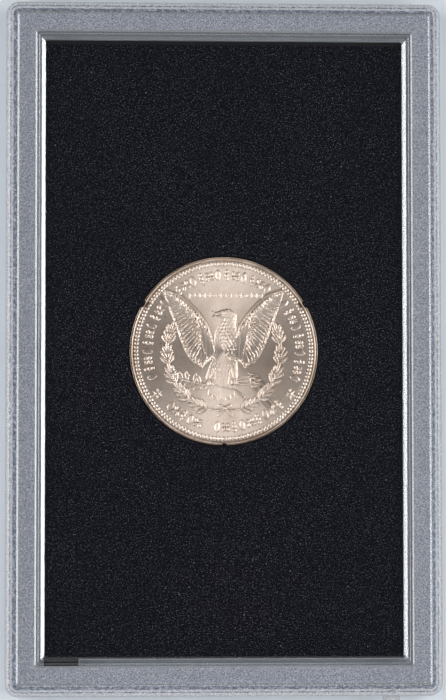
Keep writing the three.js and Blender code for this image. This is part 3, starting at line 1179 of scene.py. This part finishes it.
def add_wreath(relief):
    """Two leafy sprays with their leaves in bunches. Each bunch ends in a single leaf."""
    for side in (-1, 1):
        stem = mirrored(WREATH_STEM, side)
        relief.follow(stem, 0.26, 0.24, 0.1)
        for bunch in range(LEAF_BUNCHES):
            base = 0.12 + 0.86 * bunch / LEAF_BUNCHES
            for step, lean_angle in enumerate(LEAF_LEANS):
                share = base + 0.036 * step
                root = along_path(stem, share)
                ahead = along_path(stem, min(1.0, share + 0.03)) - root
                heading = np.arctan2(ahead[1], ahead[0])
                for lean in ((-1, 1) if lean_angle else (0,)):
                    tip = root + 2.2 * pointing(heading + lean * radians(lean_angle))
                    relief.top(relief.blade(root, tip, 0.85, 0.24, 0.55, 0.1))


def add_bow(relief):
    """The bow that ties the two sprays together."""
    for side in (-1, 1):
        relief.top(relief.dome((0.2 + 0.75 * side, -11.2), (0.72, 0.36), 0.15, 28 * side))
        relief.add(-0.09 * relief.dome((0.2 + 0.8 * side, -11.2), (0.36, 0.15), 1.0, 28 * side))
        relief.top(relief.stroke((0.2, -11.6), (0.2 + 1.3 * side, -13.0), 0.4, 0.5, 0.13))
    relief.top(relief.dome((0.2, -11.5), (0.38, 0.38), 0.18))


def eagle_face(x, y, beads):
    """The side that shows: an eagle in a wreath, inside a ring of ornaments and beads."""
    relief = Relief(x, y)
    add_wreath(relief)
    add_bow(relief)
    add_branch(relief)
    add_arrows_and_claws(relief)
    for side in (-1, 1):
        add_wing(relief, side)
    add_tail(relief)
    add_body(relief)
    add_head(relief)
    add_ornament_ring(relief)
    add_pellet_row(relief)
    for side in (-1, 1):
        relief.top(relief.star((13.4 * side, -8.6), 1.3, 6, 0.2))
    add_rim(relief, beads)
    return relief.height


def star_face(x, y, beads):
    """The hidden side: a rayed star in a laurel ring, with small stars round it."""
    relief = Relief(x, y)
    for i in range(STAR_RAYS):
        angle = 2 * pi * i / STAR_RAYS
        out = pointing(angle)
        reach = 8.6 if i % 2 else 7.4
        relief.top(relief.blade(2.0 * out, reach * out, 0.95, 0.08, 0.4))
        root = 11.0 * out
        for lean in (-1, 1):
            tip = root + 1.9 * pointing(angle + pi / 2 + lean * 0.55)
            relief.top(relief.blade(root, tip, 0.8, 0.13, 0.5, 0.4))
    relief.top(relief.star((0, 0), 5.2, 8, 0.24))
    for i in range(SMALL_STARS):
        angle = 2 * pi * i / SMALL_STARS
        relief.top(relief.star(15.2 * pointing(angle), 0.95, 6, 0.15, np.degrees(angle)))
    add_rim(relief, beads)
    return relief.height


# ---------------------------------------------------------------- coin

BORDER_RISE = 0.4 * FIELD_DROP
REED_DEPTH = 0.09

# Each ring of points round the coin's edge, from the upper side down: its level as a share of half
# the thickness, its inset, and the share of their full depth that the reeds have there.
EDGE_RINGS = (
    (0.93, 0.04, 0.2), (0.84, 0.0, 1.0), (0.3, 0.0, 1.0),
    (-0.3, 0.0, 1.0), (-0.84, 0.0, 1.0), (-0.93, 0.04, 0.2),
)


def disc_points(steps, radius):
    """A square grid of (2 * steps + 1) points a side, drawn out evenly into a disc."""
    side = np.linspace(-1, 1, 2 * steps + 1)
    a, b = np.meshgrid(side, side)
    wide = np.abs(a) > np.abs(b)
    safe_a = np.where(a == 0, 1, a)
    safe_b = np.where(b == 0, 1, b)
    reach = np.where(wide, a, b)
    angle = np.where(wide, pi / 4 * b / safe_a, pi / 2 - pi / 4 * a / safe_b)
    return radius * reach * np.cos(angle), radius * reach * np.sin(angle)


def grid_faces(count, start):
    """The faces of a square grid of points that are numbered row by row from start."""
    index = start + np.arange(count * count).reshape(count, count)
    corners = index[:-1, :-1], index[:-1, 1:], index[1:, 1:], index[1:, :-1]
    return np.stack([c.ravel() for c in corners], axis=1).tolist()


def grid_border(count, start):
    """The grid's outer points in order, anticlockwise from the lower left corner."""
    index = start + np.arange(count * count).reshape(count, count)
    sides = index[0, :-1], index[:-1, -1], index[-1, :0:-1], index[:0:-1, 0]
    return np.concatenate(sides).tolist()


def zipped(first, second):
    """Triangles between two closed rings of points that may differ in number and start together."""
    faces, i, j = [], 0, 0
    while i < len(first) or j < len(second):
        a, b = first[i % len(first)], second[j % len(second)]
        if j >= len(second) or (i < len(first) and (i + 1) / len(first) <= (j + 1) / len(second)):
            faces.append([a, first[(i + 1) % len(first)], b])
            i += 1
        else:
            faces.append([a, second[(j + 1) % len(second)], b])
            j += 1
    return faces


def coin_mesh(name, settings, material):
    """The whole coin as one closed mesh, with reeds round its edge."""
    radius, half = COIN_RADIUS / MM, COIN_HALF / MM
    field = half - FIELD_DROP
    face_radius = radius - EDGE_ROUND
    parts, faces, borders = [], [], []
    start = 0
    for steps, face, up in ((EAGLE_GRID, eagle_face, 1), (STAR_GRID, star_face, -1)):
        count = 2 * steps + 1
        x, y = disc_points(steps, face_radius)
        on_border = np.hypot(x, y) > face_radius - 1e-6
        height = np.where(on_border, BORDER_RISE, face(x, y, settings.beads))
        parts.append(np.stack([x, y, up * (field + height)], axis=-1).reshape(-1, 3))
        faces += grid_faces(count, start)
        borders.append(grid_border(count, start))
        start += count ** 2
    upper_border = np.concatenate(parts)[borders[0]]
    angles = np.arctan2(upper_border[:, 1], upper_border[:, 0])
    reeds = 0.5 - 0.5 * np.cos(settings.reeds * angles)
    for level, inset, cut in EDGE_RINGS:
        reach = radius - inset - REED_DEPTH * cut * reeds
        x, y = reach * np.cos(angles), reach * np.sin(angles)
        parts.append(np.stack([x, y, np.full_like(x, level * half)], axis=-1))
    rings = [borders[0], *numbered_rings(start, len(angles), len(EDGE_RINGS))]
    for first, second in zip(rings, rings[1:]):
        faces += band(first, second)
    faces += zipped(rings[-1], borders[1])
    points = np.concatenate(parts) * MM
    return add_piece(name, points, faces, [material])


class SLAB_OT_coin(bpy.types.Operator):
    """Adds the struck silver coin"""

    bl_idname = "slab.coin"
    bl_label = "Silver coin"

    def execute(self, context):
        settings = context.scene.slab_coin
        coin = coin_mesh("coin_struck", settings, struck_silver(settings))
        coin.data.shade_smooth()
        coin.location = COIN_CENTRE
        bpy.context.view_layer.update()
        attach(coin, "coin_body")
        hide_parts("coin")
        return {"FINISHED"}


# ---------------------------------------------------------------- studio

CAMERA_TARGET = Vector((-0.23 * MM, 0.06 * MM, 7 * MM))
CAMERA_LEAN_X = radians(-2.93)
CAMERA_LEAN_Y = radians(-3.06)
CAMERA_ROLL = radians(-0.04)
FOCAL_LENGTH = 153.0
SENSOR = 36.0

FLOOR_REACH = 1.5
LIGHTS_AIM = Vector((0, 0, 0))
SIDE_LIGHT_PLACE = (0.42, 0.02, 0.45)
SIDE_LIGHT_SIZE = (0.5, 0.17)
FRONT_LIGHT_PLACE = (0, -0.5, 0.3)
FRONT_LIGHT_SIZE = (0.3, 0.1)

# The glow keeps this share of its strength from this height up, on a sphere of radius 1.
GLOW_LEFT_OVERHEAD = 0.08
GLOW_FADED_AT = 0.75


def add_camera(context, settings):
    """A long lens almost straight above the case, leaning a little to the left and the near end."""
    toward = Vector((sin(CAMERA_LEAN_X), sin(CAMERA_LEAN_Y), 0))
    toward.z = sqrt(1 - toward.length_squared)
    data = bpy.data.cameras.new("camera")
    data.lens = FOCAL_LENGTH
    data.sensor_width = SENSOR
    camera = bpy.data.objects.new("camera", data)
    camera.location = CAMERA_TARGET + toward * settings.camera_distance
    right = Vector((0, 1, 0)).cross(toward).normalized()
    up = toward.cross(right)
    turned_right = right * cos(CAMERA_ROLL) + up * sin(CAMERA_ROLL)
    turned_up = up * cos(CAMERA_ROLL) - right * sin(CAMERA_ROLL)
    rows = zip(turned_right, turned_up, toward)
    camera.rotation_euler = Matrix([list(row) for row in rows]).to_euler()
    context.scene.collection.objects.link(camera)
    context.scene.camera = camera


def add_light(context, name, place, size, power):
    """A soft rectangular lamp turned to the middle of the floor."""
    data = bpy.data.lights.new(name, "AREA")
    data.shape = "RECTANGLE"
    data.size, data.size_y = size
    data.energy = power
    light = bpy.data.objects.new(name, data)
    light.location = place
    light.rotation_euler = (LIGHTS_AIM - Vector(place)).to_track_quat("-Z", "Y").to_euler()
    context.scene.collection.objects.link(light)


def light_from_horizon(world, strength):
    """An even glow from the sides that fades out overhead, so that the window stays clear."""
    paint = Paint(world)
    direction = paint.node("ShaderNodeTexCoord", output="Generated")
    height = paint.node("ShaderNodeSeparateXYZ", None, {"Vector": direction}, "Z")
    glow = paint.ramp(height, (0.0, strength), (GLOW_FADED_AT, GLOW_LEFT_OVERHEAD * strength))
    light = paint.node("ShaderNodeBackground", None, {"Color": glow})
    paint.finish(light, "ShaderNodeOutputWorld")


class SLAB_OT_stage(bpy.types.Operator):
    """Adds the floor, the lights and the camera"""

    bl_idname = "slab.stage"
    bl_label = "Stage"

    def execute(self, context):
        settings = context.scene.slab_studio
        add_camera(context, settings)
        signs = ((-1, -1), (1, -1), (1, 1), (-1, 1))
        corners = [(x * FLOOR_REACH, y * FLOOR_REACH, 0) for x, y in signs]
        floor = add_piece("floor", corners, [[0, 1, 2, 3]], [floor_paper(settings)])
        across, along, up = SIDE_LIGHT_PLACE
        for side, name in ((-1, "left_light"), (1, "right_light")):
            add_light(context, name, (side * across, along, up), SIDE_LIGHT_SIZE, settings.side_light)
        add_light(context, "front_light", FRONT_LIGHT_PLACE, FRONT_LIGHT_SIZE, settings.front_light)
        context.scene.world = bpy.data.worlds.new("studio")
        light_from_horizon(context.scene.world, settings.sky_light)
        context.scene.view_settings.view_transform = "Standard"
        return {"FINISHED"}


# ---------------------------------------------------------------- panel and registration

OPERATORS = [SLAB_OT_stage, SLAB_OT_case, SLAB_OT_insert, SLAB_OT_coin]


class SLAB_PT_panel(bpy.types.Panel):
    """Lists the steps that build the slab, with their settings"""

    bl_idname = "SLAB_PT_panel"
    bl_label = "Coin slab"
    bl_space_type = "VIEW_3D"
    bl_region_type = "UI"
    bl_category = "Coin slab"

    def draw(self, context):
        for operator in OPERATORS:
            self.layout.operator(operator.bl_idname)
        for name, kind in SETTINGS.items():
            box = self.layout.box()
            for prop in kind.__annotations__:
                box.prop(getattr(context.scene, name), prop)


def register():
    for kind in (*SETTINGS.values(), *OPERATORS, SLAB_PT_panel):
        bpy.utils.register_class(kind)
    for name, kind in SETTINGS.items():
        setattr(bpy.types.Scene, name, PointerProperty(type=kind))


def unregister():
    for name in SETTINGS:
        delattr(bpy.types.Scene, name)
    for kind in reversed((*SETTINGS.values(), *OPERATORS, SLAB_PT_panel)):
        bpy.utils.unregister_class(kind)


def main():
    """Builds the slab."""
    register()
    bpy.ops.slab.stage()
    bpy.ops.slab.case()
    bpy.ops.slab.insert()
    bpy.ops.slab.coin()


if __name__ == "__main__":
    main()
